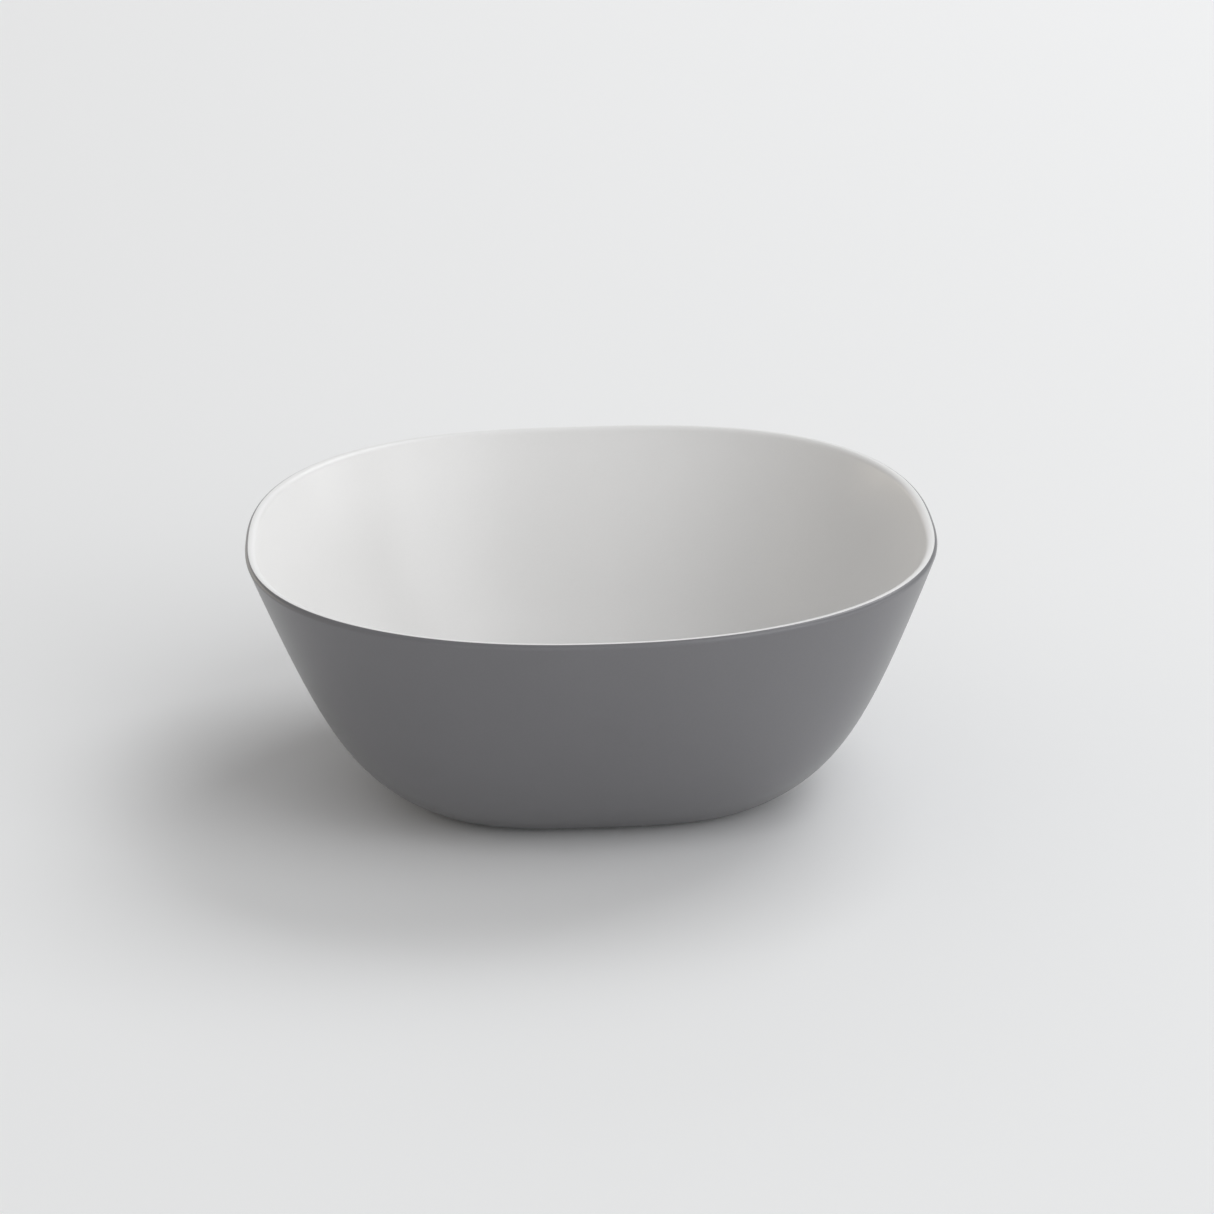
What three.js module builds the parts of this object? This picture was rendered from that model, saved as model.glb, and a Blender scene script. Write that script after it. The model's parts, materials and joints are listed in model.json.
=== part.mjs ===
// A two-tone melamine serving bowl, rounded square in plan and pressed in two layers: a coloured outer shell
// with a low foot, and a pale liner that covers the inside and most of the rim.
// Millimetres, +Z up. The origin is the middle of the foot, on the table.
import * as THREE from "three";

// Outside of the bowl. Half widths run from the bowl's axis to the middle of a side.
const RIM_HALF_WIDTH = 127.6; // before its edge is rounded
const RIM_HEIGHT = 94.7;
const RIM_SWEEP = 0.5; // the rim's corners stand this much above its mean height, its mid-sides as much below
const CORNERS = 4; // of the rounded square
const FOOT_HALF_WIDTH = 58;
const FOOT_HEIGHT = 2;
const FOOT_RING_WIDTH = 4.5;
const FOOT_RING_SLOPE = 1; // the ring's inner face leans by this much
const UNDERSIDE_HEIGHT = 1.5; // of the recess inside the foot ring

// The wall's outside is one cubic curve from above the foot to the rim, as [half width, height].
const WALL_CONTROLS = [
  [67.7, FOOT_HEIGHT],
  [95.4, 17.9],
  [103.1, 35.4],
  [RIM_HALF_WIDTH, RIM_HEIGHT],
];

// Each level section is a superellipse. Its exponent falls from the foot to the rim: 2 would be a circle.
const FOOT_EXPONENT = 3.1;
const RIM_EXPONENT = 2.4;

// Layer thicknesses at the base and at the rim.
const SHELL_AT_BASE = 2;
const SHELL_AT_RIM = 1.5;
const LINER_AT_BASE = 2.6;
const LINER_AT_RIM = 2.4;
const BOND_GAP = 0.3; // keeps the two faceted solids apart where the real layers are fused

// Inside of the bowl: a flat floor, a blend up to the wall, and rounded edges on the rim.
const FLOOR_HALF_WIDTH = 46;
const BLEND_END = 0.14; // where the blend meets the wall, as a fraction of the wall's curve
const RIM_OUTER_ROUND = 1.4;
const RIM_INNER_ROUND = 2;

const SATIN = 0.3; // roughness of both layers

// Fineness of the meshes.
const SEGMENTS = 64;
const WALL_STEPS = 10;
const BLEND_STEPS = 4;
const ROUND_STEPS = 3;

const point = (halfWidth, height) => new THREE.Vector2(halfWidth, height);

// Unit vector square to the leg from a to b, on the side of the bowl's inside.
function inwardNormal(a, b) {
  const along = b.clone().sub(a).normalize();
  return point(-along.y, along.x);
}

// The wall's curve moved inwards by a depth that changes steadily from the base to the rim. Every control
// point slides along the mitre of its two legs. The last one slides level, so the rim stays at one height.
function wallCurve(depthAtBase, depthAtRim) {
  const outside = WALL_CONTROLS.map(([halfWidth, height]) => point(halfWidth, height));
  const last = outside.length - 1;
  const normals = outside.slice(1).map((end, i) => inwardNormal(outside[i], end));
  const moved = outside.map((control, i) => {
    const depth = THREE.MathUtils.lerp(depthAtBase, depthAtRim, i / last);
    if (i === last) return point(control.x + depth / normals[i - 1].x, control.y);
    const before = normals[Math.max(i - 1, 0)];
    const mitre = before.clone().add(normals[i]).normalize();
    return control.clone().addScaledVector(mitre, depth / mitre.dot(before));
  });
  return new THREE.CubicBezierCurve(...moved);
}

// Points of a curve from one fraction of it to another, both ends included.
function stretch(curve, from, to, steps) {
  const fractions = Array.from({ length: steps + 1 }, (_, i) => THREE.MathUtils.lerp(from, to, i / steps));
  return fractions.map((t) => curve.getPoint(t));
}

// The surface at a depth below the outside, from the axis along the floor, round the blend and up to the rim.
function innerSurface(depthAtBase, depthAtRim) {
  const wall = wallCurve(depthAtBase, depthAtRim);
  const floorHeight = UNDERSIDE_HEIGHT + depthAtBase;
  const meeting = wall.getPoint(BLEND_END);
  const slope = wall.getTangent(BLEND_END);
  const corner = point(meeting.x - ((meeting.y - floorHeight) * slope.x) / slope.y, floorHeight);
  const blend = new THREE.QuadraticBezierCurve(point(FLOOR_HALF_WIDTH, floorHeight), corner, meeting);
  return [
    point(0, floorHeight),
    ...blend.getPoints(BLEND_STEPS),
    ...stretch(wall, BLEND_END, 1, WALL_STEPS).slice(1),
  ];
}

// A rounded edge that replaces the end of a surface. `room` is the length of the round along the wall and
// along the level rim. `side` is +1 where the rim lies outwards of the surface and -1 where it lies inwards.
function roundedEnd(surface, room, side) {
  const tip = surface[surface.length - 1];
  const before = surface[surface.length - 2];
  const start = tip.clone().addScaledVector(before.clone().sub(tip).normalize(), room);
  const round = new THREE.QuadraticBezierCurve(start, tip, point(tip.x + side * room, tip.y));
  return [...surface.slice(0, -1), ...round.getPoints(ROUND_STEPS)];
}

// Outside of the shell: the recess, the foot ring, the ledge above it and the wall.
function outerSurface() {
  const ringInside = FOOT_HALF_WIDTH - FOOT_RING_WIDTH;
  return [
    point(0, UNDERSIDE_HEIGHT),
    point(ringInside - FOOT_RING_SLOPE, UNDERSIDE_HEIGHT),
    point(ringInside, 0),
    point(FOOT_HALF_WIDTH, 0),
    point(FOOT_HALF_WIDTH, FOOT_HEIGHT),
    ...stretch(wallCurve(0, 0), 0, 1, WALL_STEPS + BLEND_STEPS),
  ];
}

// Gives each ring of a turned shape its rounded-square section, and lifts the corners of the rim.
function squareOff(geometry) {
  const position = geometry.getAttribute("position");
  for (let i = 0; i < position.count; i += 1) {
    const x = position.getX(i);
    const y = position.getY(i);
    const z = position.getZ(i);
    const angle = Math.atan2(y, x);
    const upTheWall = z / RIM_HEIGHT;
    const exponent = THREE.MathUtils.lerp(FOOT_EXPONENT, RIM_EXPONENT, upTheWall);
    const sum = Math.abs(Math.cos(angle)) ** exponent + Math.abs(Math.sin(angle)) ** exponent;
    const stretchOut = sum ** (-1 / exponent);
    const lift = -RIM_SWEEP * Math.cos(CORNERS * angle) * upTheWall;
    position.setXYZ(i, x * stretchOut, y * stretchOut, z + lift);
  }
}

// A layer of the bowl between its lower surface and its upper one, both given from the axis to the rim.
function layer(name, below, above, material) {
  const geometry = new THREE.LatheGeometry([...below, ...above.reverse()], SEGMENTS);
  geometry.rotateX(Math.PI / 2);
  squareOff(geometry);
  const mesh = new THREE.Mesh(geometry, material);
  mesh.name = name;
  return mesh;
}

function outerShell() {
  const grey = new THREE.MeshStandardMaterial({ color: "#717073", roughness: SATIN, metalness: 0 });
  const below = roundedEnd(outerSurface(), RIM_OUTER_ROUND, -1);
  return layer("outer_shell", below, innerSurface(SHELL_AT_BASE, SHELL_AT_RIM), grey);
}

function innerLiner() {
  const offWhite = new THREE.MeshStandardMaterial({ color: "#e7e6e4", roughness: SATIN, metalness: 0 });
  const below = innerSurface(SHELL_AT_BASE + BOND_GAP, SHELL_AT_RIM + BOND_GAP);
  const inside = innerSurface(SHELL_AT_BASE + LINER_AT_BASE, SHELL_AT_RIM + LINER_AT_RIM);
  return layer("inner_liner", below, roundedEnd(inside, RIM_INNER_ROUND, 1), offWhite);
}

const bowl = new THREE.Group();
bowl.name = "two_tone_serving_bowl";
bowl.add(outerShell(), innerLiner());

export default bowl;
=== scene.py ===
"""A two-tone melamine serving bowl, dressed and set up in a plain studio.

The bowl is rounded square in plan and pressed in two layers. This script makes the fine surface of both
layers inside the space that the loaded frame gives them, gives each its moulded finish, and adds the floor,
the lights and the camera. Everything is in metres, with +Z up and the origin in the middle of the foot.
"""

from __future__ import annotations

import json
import logging
import math
from dataclasses import dataclass
from enum import Enum

import bmesh
import bpy
from mathutils import Matrix, Vector

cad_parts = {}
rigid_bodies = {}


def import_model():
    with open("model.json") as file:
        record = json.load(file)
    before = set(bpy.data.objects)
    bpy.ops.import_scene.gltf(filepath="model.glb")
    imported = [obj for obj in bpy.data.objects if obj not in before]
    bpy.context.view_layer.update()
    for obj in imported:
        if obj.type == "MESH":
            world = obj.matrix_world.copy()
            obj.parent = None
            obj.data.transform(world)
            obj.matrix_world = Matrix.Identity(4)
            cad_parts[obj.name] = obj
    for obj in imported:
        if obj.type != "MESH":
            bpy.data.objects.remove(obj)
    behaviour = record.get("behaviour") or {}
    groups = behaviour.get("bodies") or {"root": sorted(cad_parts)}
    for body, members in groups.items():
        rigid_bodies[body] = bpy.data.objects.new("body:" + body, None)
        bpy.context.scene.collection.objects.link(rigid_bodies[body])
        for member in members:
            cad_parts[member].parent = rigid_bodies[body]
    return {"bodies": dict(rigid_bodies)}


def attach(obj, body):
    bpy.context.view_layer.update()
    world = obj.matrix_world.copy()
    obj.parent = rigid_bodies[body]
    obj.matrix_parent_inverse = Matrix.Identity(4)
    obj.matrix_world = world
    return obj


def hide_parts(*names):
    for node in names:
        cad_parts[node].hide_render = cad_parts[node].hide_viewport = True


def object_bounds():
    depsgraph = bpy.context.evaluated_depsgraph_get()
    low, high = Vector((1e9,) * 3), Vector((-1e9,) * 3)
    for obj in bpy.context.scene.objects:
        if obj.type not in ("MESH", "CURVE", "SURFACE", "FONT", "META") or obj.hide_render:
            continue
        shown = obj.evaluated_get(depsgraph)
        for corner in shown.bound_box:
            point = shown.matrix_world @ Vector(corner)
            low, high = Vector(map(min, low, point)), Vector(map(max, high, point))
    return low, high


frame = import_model()
CAD_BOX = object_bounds()

LOG = logging.getLogger("bowl")
MM = 0.001
(BODY,) = frame["bodies"]  # the bowl is one rigid body
CORNERS = 4  # of a rounded-square section
AIM_HEIGHT = 47 * MM  # of the point that the lamps and the camera face
HALVINGS = 30  # narrow a search along a curve down to nothing
RIM_START = 0.9  # the parameter of the wall's curve at which the rim's own profile starts
ROUND_CLEARANCE = 1.05  # a round drops the points nearer to its corner than this many times its own reach
NOISE_MIDDLE = (0.2, 0.8)  # nearly all of a noise texture's values lie in this range

Point = Vector  # a point of a profile: x is the half width at the middle of a side, y the height
Outline = list[Point]


class Layer(Enum):
    """The two mouldings, by the name of the node that each one stands for."""

    SHELL = "outer_shell"
    LINER = "inner_liner"


class Resin(Enum):
    """The two colours of resin, by the name of their material slot."""

    GREY = "grey_melamine"
    OFF_WHITE = "off_white_melamine"


def square_to(direction: Point) -> Point:
    """Return the unit vector a quarter turn to the left of a direction."""
    return Vector((-direction.y, direction.x)).normalized()


@dataclass(frozen=True)
class WallCurve:
    """A cubic curve up the bowl's wall, in the plane of half width and height.

    Attributes:
        controls: The curve's four control points, from the foot to the rim.
    """

    controls: tuple[Point, Point, Point, Point]

    def point(self, t: float) -> Point:
        """Return the curve's point at a value of its parameter.

        Args:
            t: The parameter, 0 at the foot and 1 at the rim.

        Returns:
            The point, as half width and height.
        """
        a, b, c, d = self.controls
        s = 1 - t
        return a * s**3 + b * (3 * s * s * t) + c * (3 * s * t * t) + d * t**3

    def slope(self, t: float) -> Point:
        """Return the curve's unit direction at a value of its parameter.

        Args:
            t: The parameter, 0 at the foot and 1 at the rim.

        Returns:
            The unit vector that points up the wall.
        """
        a, b, c, d = self.controls
        s = 1 - t
        return ((b - a) * s * s + (c - b) * (2 * s * t) + (d - c) * t * t).normalized()

    def at_height(self, height: float) -> Point:
        """Return the curve's point at a height.

        Args:
            height: The height, between the curve's two ends.

        Returns:
            The point, as half width and height.
        """
        low, high = 0.0, 1.0
        for _ in range(HALVINGS):
            middle = (low + high) / 2
            if self.point(middle).y < height:
                low = middle
            else:
                high = middle
        return self.point(high)

    def stretch(self, start: float, end: float, steps: int) -> Outline:
        """Return points from one value of the curve's parameter to another, both ends included.

        Args:
            start: The first point's parameter.
            end: The last point's parameter.
            steps: How many steps lie between them.

        Returns:
            The points in order.
        """
        return [self.point(start + (end - start) * i / steps) for i in range(steps + 1)]


@dataclass(frozen=True)
class BowlForm:
    """The outside form that both layers share.

    Attributes:
        rim_half_width: Half width of the rim across the flats, before its edge is rounded.
        rim_height: Height of the rim's level top, at its mean.
        rim_sweep: How far the rim's corners stand above its mean height, and its mid-sides below.
        underside_height: Height of the recess under the base.
        foot_height: Height of the ledge above the foot ring.
        wall_start: Half width where the wall leaves the ledge.
        wall_low: Second control point of the wall's curve.
        wall_high: Third control point of the wall's curve.
        foot_exponent: Superellipse exponent of the sections at the foot.
        rim_exponent: Superellipse exponent of the sections at the rim.
        shell_thickness: Thickness of the outer layer at the base and at the rim.
        liner_thickness: Thickness of the inner layer at the base and at the rim.
        outer_round: Radius of the rim's outer edge.
        inner_round: Radius of the rim's inner edge.
        rim_steps: Steps up the rim's sides, round its outer edge and round its inner edge.
    """

    rim_half_width: float
    rim_height: float
    rim_sweep: float = 0.5 * MM
    underside_height: float = 1.5 * MM
    foot_height: float = 2.0 * MM
    wall_start: float = 67.7 * MM
    wall_low: tuple[float, float] = (95.4 * MM, 17.9 * MM)
    wall_high: tuple[float, float] = (103.1 * MM, 35.4 * MM)
    foot_exponent: float = 3.1
    rim_exponent: float = 2.4
    shell_thickness: tuple[float, float] = (2.0 * MM, 1.5 * MM)
    liner_thickness: tuple[float, float] = (2.6 * MM, 2.4 * MM)
    outer_round: float = 1.4 * MM
    inner_round: float = 2.9 * MM
    rim_steps: tuple[int, int, int] = (6, 28, 20)

    @classmethod
    def fitted(cls, low: Vector, high: Vector) -> BowlForm:
        """Fit the form to the box of the loaded frame.

        Args:
            low: The box's lowest corner.
            high: The box's highest corner.

        Returns:
            The form whose rounded rim just fills the box.
        """
        edge_left_off = 0.386 * MM  # what rounding the edge of the loaded rim takes off its half width
        return cls(
            rim_half_width=(high.x - low.x) / 2 + edge_left_off,
            rim_height=high.z - cls.rim_sweep,
        )

    def wall(self, depth_at_base: float, depth_at_rim: float) -> WallCurve:
        """Return the wall's curve, moved inwards from the outside.

        Each control point slides along the mitre of its two legs. The last one slides level, so that every
        layer ends at the height of the rim.

        Args:
            depth_at_base: How far below the outside the curve lies at the base.
            depth_at_rim: How far below the outside it lies at the rim.

        Returns:
            The moved curve.
        """
        outside = [
            Vector((self.wall_start, self.foot_height)),
            Vector(self.wall_low),
            Vector(self.wall_high),
            Vector((self.rim_half_width, self.rim_height)),
        ]
        normals = [square_to(end - start) for start, end in zip(outside, outside[1:])]
        moved = []
        for i, control in enumerate(outside[:-1]):
            depth = depth_at_base + (depth_at_rim - depth_at_base) * i / len(normals)
            before = normals[max(i - 1, 0)]
            mitre = (before + normals[i]).normalized()
            moved.append(control + mitre * (depth / mitre.dot(before)))
        moved.append(outside[-1] + Vector((depth_at_rim / normals[-1].x, 0)))
        return WallCurve(tuple(moved))

    @property
    def bond(self) -> WallCurve:
        """The curve on which the two layers meet."""
        return self.wall(*self.shell_thickness)

    @property
    def inside(self) -> WallCurve:
        """The curve of the wall's inside."""
        (shell_base, shell_rim), (liner_base, liner_rim) = self.shell_thickness, self.liner_thickness
        return self.wall(shell_base + liner_base, shell_rim + liner_rim)

    def rim(self) -> tuple[Outline, Outline]:
        """Round the top of the wall and split it at the seam between the two layers.

        Returns:
            The shell's part, from the wall's outside to the seam, and the liner's part, from the seam to the
            wall's inside.
        """
        side_steps, outer_steps, inner_steps = self.rim_steps
        outside = self.wall(0, 0).stretch(RIM_START, 1, side_steps)
        inside = self.inside.stretch(RIM_START, 1, side_steps)
        profile = rounded_join(outside, [outside[-1], inside[-1]], self.outer_round, outer_steps)
        profile = rounded_join(profile, inside[::-1], self.inner_round, inner_steps)
        bond = self.bond
        split = next(i for i, p in enumerate(profile) if p.x < bond.at_height(p.y).x)
        seam = (profile[split - 1] + profile[split]) / 2
        return [*profile[:split], seam], [seam, *profile[split:]]

    def place(self, point: Point, angle: float) -> Vector:
        """Turn a profile's point round the axis, on its rounded-square section.

        Args:
            point: The profile's point.
            angle: The angle round the axis, in radians.

        Returns:
            The point in space.
        """
        up = point.y / self.rim_height
        exponent = self.foot_exponent + (self.rim_exponent - self.foot_exponent) * up
        reach = (abs(math.cos(angle)) ** exponent + abs(math.sin(angle)) ** exponent) ** (-1 / exponent)
        lift = -self.rim_sweep * math.cos(CORNERS * angle) * up
        radius = point.x * reach
        return Vector((radius * math.cos(angle), radius * math.sin(angle), point.y + lift))


def rounded_join(first: Outline, second: Outline, radius: float, steps: int = 8) -> Outline:
    """Join two stretches that meet at a corner, with a round between them.

    Args:
        first: Points that end at the corner.
        second: Points that start at the corner.
        radius: The round's radius.
        steps: How many steps the round is made of.

    Returns:
        One outline, with the corner replaced by the round.
    """
    corner = first[-1]
    inward, outward = (corner - first[-2]).normalized(), (second[1] - corner).normalized()
    turn = math.atan2(inward.x * outward.y - inward.y * outward.x, inward.dot(outward))
    room = radius * math.tan(abs(turn) / 2)
    start = corner - inward * room
    centre = start + square_to(inward) * math.copysign(radius, turn)
    arm = start - centre
    arc = [centre + Matrix.Rotation(turn * i / steps, 2) @ arm for i in range(steps + 1)]
    clear = room * ROUND_CLEARANCE
    kept_before = [p for p in first[:-1] if (p - corner).length > clear]
    kept_after = [p for p in second[1:] if (p - corner).length > clear]
    return kept_before + arc + kept_after


def straight(start: Point, end: Point, step: float = 2.5 * MM) -> Outline:
    """Return evenly spaced points along a straight stretch.

    Args:
        start: The first point.
        end: The last point.
        step: The longest distance between two points.

    Returns:
        The points, both ends included.
    """
    count = max(1, math.ceil((end - start).length / step))
    return [start.lerp(end, i / count) for i in range(count + 1)]


@dataclass(frozen=True)
class MelamineFinish:
    """A satin moulded melamine, with the faint cloudiness and fine grain of pressed resin.

    Attributes:
        resin: The resin that the layer is pressed from.
        colour: Linear colour of the resin.
        cloud: How much the colour drifts over the piece, as a share of it.
        cloud_scale: Clouds to the metre.
        speck: How much fine grain changes the colour, as a share of it.
        speck_scale: Specks to the metre.
        roughness: Mean roughness of the moulded skin.
        roughness_drift: How far the roughness strays either way.
        specular: Specular level of the skin.
        grain_depth: Height of the fine grain.
    """

    resin: Resin
    colour: tuple[float, float, float]
    cloud: float = 0.03
    cloud_scale: float = 14
    speck: float = 0.02
    speck_scale: float = 1400
    roughness: float = 0.3
    roughness_drift: float = 0.02
    specular: float = 0.5
    grain_depth: float = 0.01 * MM

    def material(self) -> bpy.types.Material:
        """Build the material.

        Returns:
            A node material that is placed by the object's own coordinates.
        """
        made = bpy.data.materials.new(f"{self.resin.value}_skin")
        made.use_nodes = True
        tree = made.node_tree
        skin = tree.nodes["Principled BSDF"]
        skin.inputs["Specular IOR Level"].default_value = self.specular
        place = tree.nodes.new("ShaderNodeTexCoord").outputs["Object"]
        cloud = self._noise(tree, place, self.cloud_scale, detail=3)
        grain = self._noise(tree, place, self.speck_scale, detail=4)
        tree.links.new(self._tinted(tree, cloud, grain), skin.inputs["Base Color"])
        drift = self.roughness_drift
        roughness = self._spread(tree, cloud, self.roughness - drift, self.roughness + drift)
        tree.links.new(roughness, skin.inputs["Roughness"])
        bump = tree.nodes.new("ShaderNodeBump")
        bump.inputs["Distance"].default_value = self.grain_depth
        tree.links.new(grain, bump.inputs["Height"])
        tree.links.new(bump.outputs["Normal"], skin.inputs["Normal"])
        return made

    @staticmethod
    def _noise(
        tree: bpy.types.NodeTree, place: bpy.types.NodeSocket, scale: float, detail: float
    ) -> bpy.types.NodeSocket:
        """Add a noise texture.

        Args:
            tree: The material's node tree.
            place: The coordinates.
            scale: Features to the metre.
            detail: Octaves of finer noise.

        Returns:
            The noise, about 0.5 on average.
        """
        noise = tree.nodes.new("ShaderNodeTexNoise")
        noise.inputs["Scale"].default_value = scale
        noise.inputs["Detail"].default_value = detail
        tree.links.new(place, noise.inputs["Vector"])
        return noise.outputs["Fac"]

    @staticmethod
    def _spread(
        tree: bpy.types.NodeTree, noise: bpy.types.NodeSocket, low: float, high: float
    ) -> bpy.types.NodeSocket:
        """Spread the middle of a noise over a range of values, easing in and out at both ends.

        Args:
            tree: The material's node tree.
            noise: The noise.
            low: The value where the noise is low.
            high: The value where the noise is high.

        Returns:
            The value.
        """
        spread = tree.nodes.new("ShaderNodeMapRange")
        spread.interpolation_type = "SMOOTHSTEP"
        spread.inputs["From Min"].default_value, spread.inputs["From Max"].default_value = NOISE_MIDDLE
        spread.inputs["To Min"].default_value = low
        spread.inputs["To Max"].default_value = high
        tree.links.new(noise, spread.inputs["Value"])
        return spread.outputs["Result"]

    def _tinted(
        self, tree: bpy.types.NodeTree, cloud: bpy.types.NodeSocket, grain: bpy.types.NodeSocket
    ) -> bpy.types.NodeSocket:
        """Shade the resin's colour with its cloudiness and its grain.

        Args:
            tree: The material's node tree.
            cloud: The broad noise.
            grain: The fine noise.

        Returns:
            The colour.
        """
        tint = tree.nodes.new("ShaderNodeVectorMath")
        tint.operation = "MULTIPLY"
        tint.inputs[0].default_value = self.colour
        tree.links.new(self._spread(tree, cloud, 1 - self.cloud, 1 + self.cloud), tint.inputs[1])
        fine = tree.nodes.new("ShaderNodeVectorMath")
        fine.operation = "MULTIPLY"
        tree.links.new(tint.outputs["Vector"], fine.inputs[0])
        tree.links.new(self._spread(tree, grain, 1 - self.speck, 1 + self.speck), fine.inputs[1])
        return fine.outputs["Vector"]


GREY = MelamineFinish(Resin.GREY, colour=(0.164, 0.162, 0.170))
OFF_WHITE = MelamineFinish(Resin.OFF_WHITE, colour=(0.797, 0.789, 0.779), cloud=0.01, speck=0.008)


@dataclass
class Moulding:
    """One pressed layer of the bowl: a turned profile on rounded-square sections.

    Attributes:
        form: The outside form that the layer follows.
        finish: The layer's finish.
        segments: Steps round the bowl.
        wall_steps: Steps up the wall.
        floor_half_width: Half width of the flat floor inside.
        blend_end: The parameter of the wall's curve at which the floor's blend meets it.
        blend_steps: Steps round the blend.
    """

    form: BowlForm
    finish: MelamineFinish
    segments: int = 288
    wall_steps: int = 44
    floor_half_width: float = 46 * MM
    blend_end: float = 0.14
    blend_steps: int = 14

    def lining(self, wall: WallCurve, height: float) -> Outline:
        """Return a surface inside the bowl, from the axis along the floor and up to where the rim starts.

        Args:
            wall: The curve that it follows up the wall.
            height: The height of its floor.

        Returns:
            The outline along the floor, round the blend and up the wall.
        """
        meeting, slope = wall.point(self.blend_end), wall.slope(self.blend_end)
        corner = Vector((meeting.x - (meeting.y - height) * slope.x / slope.y, height))
        edge = Vector((self.floor_half_width, height))
        blend = [
            edge * (1 - t) ** 2 + corner * (2 * t * (1 - t)) + meeting * t * t
            for t in (i / self.blend_steps for i in range(1, self.blend_steps))
        ]
        floor = straight(Vector((0, height)), edge)
        return floor + blend + wall.stretch(self.blend_end, RIM_START, self.wall_steps)

    def turned(self, name: str, outline: Outline) -> bpy.types.Object:
        """Turn a closed profile round the axis and return the solid.

        Args:
            name: The new object's name.
            outline: The profile. Its first and last points lie on the axis.

        Returns:
            The object, smooth shaded and linked to the scene.
        """
        mesh = bmesh.new()
        poles = [mesh.verts.new((0, 0, outline[i].y)) for i in (0, -1)]
        angles = [2 * math.pi * k / self.segments for k in range(self.segments)]
        rings = [[mesh.verts.new(self.form.place(p, a)) for a in angles] for p in outline[1:-1]]
        for k in range(self.segments):
            after = (k + 1) % self.segments
            mesh.faces.new((poles[0], rings[0][after], rings[0][k]))
            mesh.faces.new((poles[1], rings[-1][k], rings[-1][after]))
            for low, high in zip(rings, rings[1:]):
                mesh.faces.new((low[k], low[after], high[after], high[k]))
        bmesh.ops.recalc_face_normals(mesh, faces=mesh.faces)
        for face in mesh.faces:
            face.smooth = True
        data = bpy.data.meshes.new(name)
        mesh.to_mesh(data)
        mesh.free()
        piece = bpy.data.objects.new(name, data)
        bpy.context.collection.objects.link(piece)
        return piece

    def seat(self, piece: bpy.types.Object, layer: Layer) -> None:
        """Put a piece in the place of its node, on the bowl's body.

        Args:
            piece: The piece.
            layer: The layer that it shows.
        """
        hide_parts(layer.value)
        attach(piece, BODY)

    def dress(self, piece: bpy.types.Object) -> None:
        """Give a piece the layer's finish.

        Args:
            piece: The piece.
        """
        piece.data.materials.append(self.finish.material())


@dataclass
class OuterShell(Moulding):
    """The coloured moulding: the wall's outside, the base with its recess, and the foot ring.

    Attributes:
        foot_half_width: Half width of the foot ring.
        ring_width: Width of the foot ring.
        ring_slope: How far the ring's inner face leans.
        ring_draft: How far its outer face leans.
        rounds: Radii of the recess's edge, of the ring's inner and outer edges and of its root.
        ledge_round: Radius between the ledge above the ring and the wall.
    """

    foot_half_width: float = 58 * MM
    ring_width: float = 4.5 * MM
    ring_slope: float = 1.0 * MM
    ring_draft: float = 0.2 * MM
    rounds: tuple[float, ...] = (0.9 * MM, 0.45 * MM, 0.5 * MM, 0.7 * MM)
    ledge_round: float = 7 * MM

    def outside(self) -> Outline:
        """Return the outside of the shell, from the axis under the base to where the rim starts."""
        form = self.form
        ring_inside = self.foot_half_width - self.ring_width
        corners = [
            Vector((0, form.underside_height)),
            Vector((ring_inside - self.ring_slope, form.underside_height)),
            Vector((ring_inside, 0)),
            Vector((self.foot_half_width - self.ring_draft, 0)),
            Vector((self.foot_half_width, form.foot_height)),
            Vector((form.wall_start, form.foot_height)),
        ]
        outline = straight(corners[0], corners[1])
        for start, end, radius in zip(corners[1:], corners[2:], self.rounds):
            outline = rounded_join(outline, straight(start, end), radius)
        wall = form.wall(0, 0).stretch(0, RIM_START, self.wall_steps + self.blend_steps)
        return rounded_join(outline, wall, self.ledge_round)

    def build(self) -> bpy.types.Object:
        """Make the shell in place of its node, dress it and return it."""
        form = self.form
        edge, _ = form.rim()
        seam = form.bond.at_height(edge[-1].y)
        bond = self.lining(form.bond, form.underside_height + form.shell_thickness[0])
        outline = self.outside()[:-1] + edge[:-1] + [seam] + bond[::-1]
        piece = self.turned("grey_shell", outline)
        self.seat(piece, Layer.SHELL)
        self.dress(piece)
        return piece


@dataclass
class InnerLiner(Moulding):
    """The pale moulding: the floor, the inside of the wall and most of the rim's top.

    Attributes:
        bond_gap: The seam between the two layers.
    """

    bond_gap: float = 0.03 * MM

    def build(self) -> bpy.types.Object:
        """Make the liner in place of its node, dress it and return it."""
        form, gap = self.form, self.bond_gap
        (shell_base, shell_rim), liner_base = form.shell_thickness, form.liner_thickness[0]
        bond = form.wall(shell_base + gap, shell_rim + gap)
        _, edge = form.rim()
        floor = form.underside_height + shell_base
        below = self.lining(bond, floor + gap)
        above = self.lining(form.inside, floor + liner_base)
        seam = bond.at_height(edge[0].y)
        piece = self.turned("off_white_liner", below + [seam] + edge[1:-1] + above[::-1])
        self.seat(piece, Layer.LINER)
        self.dress(piece)
        return piece


@dataclass(frozen=True)
class FloorPaint:
    """A flat, pale paint for the studio's floor.

    Attributes:
        colour: Linear colour of the paint.
        roughness: Roughness of the paint.
        specular: Specular level of the paint.
    """

    colour: tuple[float, float, float] = (0.9, 0.9, 0.9)
    roughness: float = 0.9
    specular: float = 0.1

    def material(self) -> bpy.types.Material:
        """Build the material and return it."""
        made = bpy.data.materials.new("pale_floor")
        made.use_nodes = True
        skin = made.node_tree.nodes["Principled BSDF"]
        skin.inputs["Base Color"].default_value = (*self.colour, 1)
        skin.inputs["Roughness"].default_value = self.roughness
        skin.inputs["Specular IOR Level"].default_value = self.specular
        return made


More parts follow.
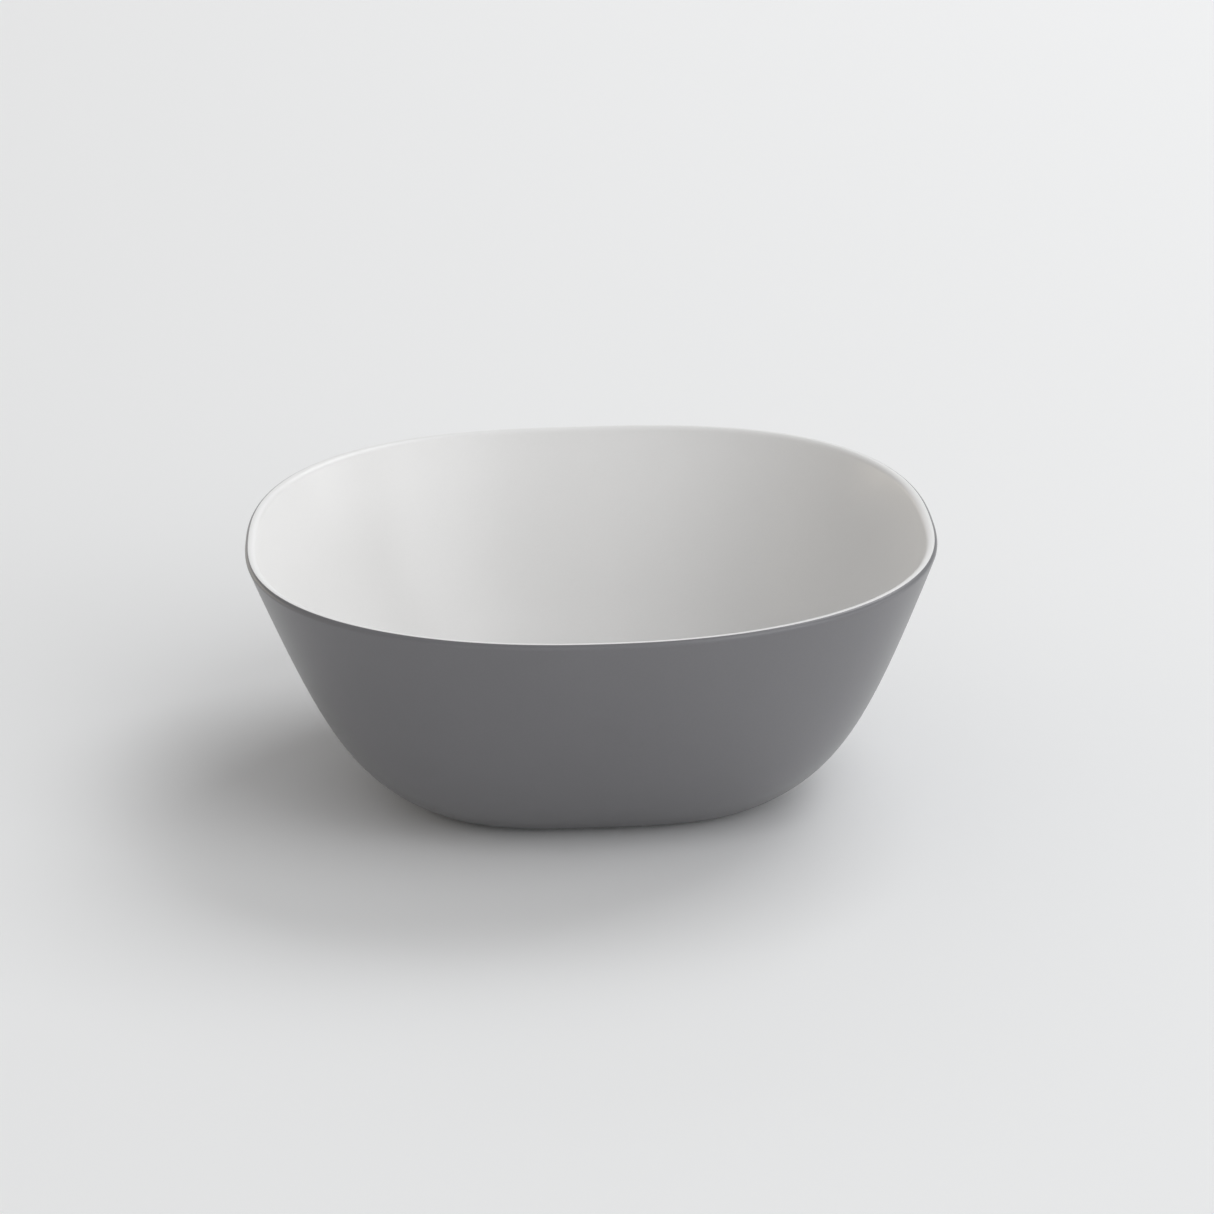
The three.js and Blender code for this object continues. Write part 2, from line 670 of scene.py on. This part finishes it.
def towards(azimuth: float, elevation: float) -> Vector:
    """Return a direction from the bowl.

    Args:
        azimuth: Degrees round the bowl from straight in front, turning to the right.
        elevation: Degrees above the level.

    Returns:
        The unit vector.
    """
    turn, rise = math.radians(azimuth), math.radians(elevation)
    return Vector((math.sin(turn) * math.cos(rise), -math.cos(turn) * math.cos(rise), math.sin(rise)))


COOL = (0.97, 0.985, 1.0)  # linear colour of most lamps' light
WARM = (1.0, 0.9, 0.76)  # linear colour of the fill from the left


@dataclass(frozen=True)
class SoftBox:
    """A large soft lamp that faces the bowl.

    Attributes:
        name: The lamp's name.
        azimuth: Degrees round the bowl from straight in front, turning to the right.
        elevation: Degrees above the level.
        power: Its power, in watts.
        size: Its width and height.
        colour: Linear colour of its light.
        distance: How far it hangs from the bowl, in metres.
    """

    name: str
    azimuth: float
    elevation: float
    power: float
    size: tuple[float, float]
    colour: tuple[float, float, float] = COOL
    distance: float = 4.0

    def hang(self, aim: Vector) -> None:
        """Add the lamp to the scene, out of the camera's sight.

        Args:
            aim: The point that it faces.
        """
        light = bpy.data.lights.new(self.name, "AREA")
        light.shape = "RECTANGLE"
        light.size, light.size_y = self.size
        light.energy = self.power
        light.color = self.colour
        away = towards(self.azimuth, self.elevation)
        lamp = bpy.data.objects.new(self.name, light)
        lamp.location = aim + away * self.distance
        lamp.rotation_mode = "QUATERNION"
        lamp.rotation_quaternion = (-away).to_track_quat("-Z", "Y")
        lamp.visible_camera = False
        bpy.context.collection.objects.link(lamp)


STRIP = (3.2, 0.7)  # width and height, in metres
LOW_PANEL = (3.2, 2.0)
HIGH_PANEL = (2.6, 2.4)
LAMPS = (
    SoftBox("front_low", 0, 18, 11, LOW_PANEL),
    SoftBox("front_right_low", 45, 18, 43, LOW_PANEL),
    SoftBox("front_right_high", 45, 50, 30, HIGH_PANEL),
    SoftBox("right_strip", 90, 6, 15, STRIP),
    SoftBox("back_right_high", 135, 50, 62, HIGH_PANEL),
    SoftBox("back_low", 180, 18, 17, LOW_PANEL),
    SoftBox("back_left_strip", 225, 6, 13, STRIP, WARM),
    SoftBox("left_low", 270, 18, 7, LOW_PANEL, WARM),
)


@dataclass(frozen=True)
class CameraView:
    """Where the camera stands and how it looks at the bowl.

    Attributes:
        azimuth: Degrees round the bowl from straight in front, turning to the right.
        elevation: Degrees above the level.
        roll: Degrees that the camera is turned about its own axis.
        distance: Metres from the point that it aims at.
        lens: Focal length in millimetres.
        shift: The sensor's shift, as shares of the frame's width.
    """

    azimuth: float = -1.92
    elevation: float = 20.11
    roll: float = -1.124
    distance: float = 1.6333
    lens: float = 129.94
    shift: tuple[float, float] = (0.0122, 0.03321)


@dataclass
class Studio:
    """A pale floor, soft lamps and the camera.

    Attributes:
        aim: The point that the lamps and the camera face.
        lamps: The soft lamps.
        ambient: Strength of the light that comes from all round.
        floor_reach: Half the floor's width, in metres.
        paint: The floor's finish.
    """

    aim: Vector
    lamps: tuple[SoftBox, ...] = LAMPS
    ambient: float = 0.35
    floor_reach: float = 12.0
    paint: FloorPaint = FloorPaint()

    def lay_floor(self) -> bpy.types.Object:
        """Lay the floor and return it."""
        reach = self.floor_reach
        data = bpy.data.meshes.new("floor")
        corners = [(-reach, -reach, 0), (reach, -reach, 0), (reach, reach, 0), (-reach, reach, 0)]
        data.from_pydata(corners, [], [(0, 1, 2, 3)])
        floor = bpy.data.objects.new("floor", data)
        bpy.context.collection.objects.link(floor)
        data.materials.append(self.paint.material())
        return floor

    def light(self) -> None:
        """Hang the lamps and set the light that comes from all round."""
        world = bpy.data.worlds.new("studio")
        world.use_nodes = True
        background = world.node_tree.nodes["Background"]
        background.inputs["Color"].default_value = (1, 1, 1, 1)
        background.inputs["Strength"].default_value = self.ambient
        bpy.context.scene.world = world
        for lamp in self.lamps:
            lamp.hang(self.aim)
        bpy.context.scene.view_settings.view_transform = "Standard"

    def mount_camera(self, view: CameraView) -> bpy.types.Object:
        """Add the camera and make it the scene's own.

        Args:
            view: Where it stands and how it looks.

        Returns:
            The camera.
        """
        data = bpy.data.cameras.new("camera")
        data.lens = view.lens
        data.shift_x, data.shift_y = view.shift
        back = towards(view.azimuth, view.elevation)
        camera = bpy.data.objects.new("camera", data)
        camera.location = self.aim + back * view.distance
        camera.rotation_mode = "QUATERNION"
        aimed = (-back).to_track_quat("-Z", "Y").to_matrix()
        rolled = aimed @ Matrix.Rotation(math.radians(view.roll), 3, "Z")
        camera.rotation_quaternion = rolled.to_quaternion()
        bpy.context.collection.objects.link(camera)
        bpy.context.scene.camera = camera
        return camera


def main() -> None:
    """Build the bowl and the studio, and report each piece."""
    logging.basicConfig(level=logging.INFO, format="%(name)s: %(message)s")
    form = BowlForm.fitted(*CAD_BOX)
    for moulding in (OuterShell(form, GREY), InnerLiner(form, OFF_WHITE)):
        piece = moulding.build()
        LOG.info("%s: %d faces, %s", piece.name, len(piece.data.polygons), moulding.finish.resin.value)
    studio = Studio(aim=Vector((0, 0, AIM_HEIGHT)))
    studio.mount_camera(CameraView())
    studio.light()
    LOG.info("%s laid", studio.lay_floor().name)


if __name__ == "__main__":
    main()
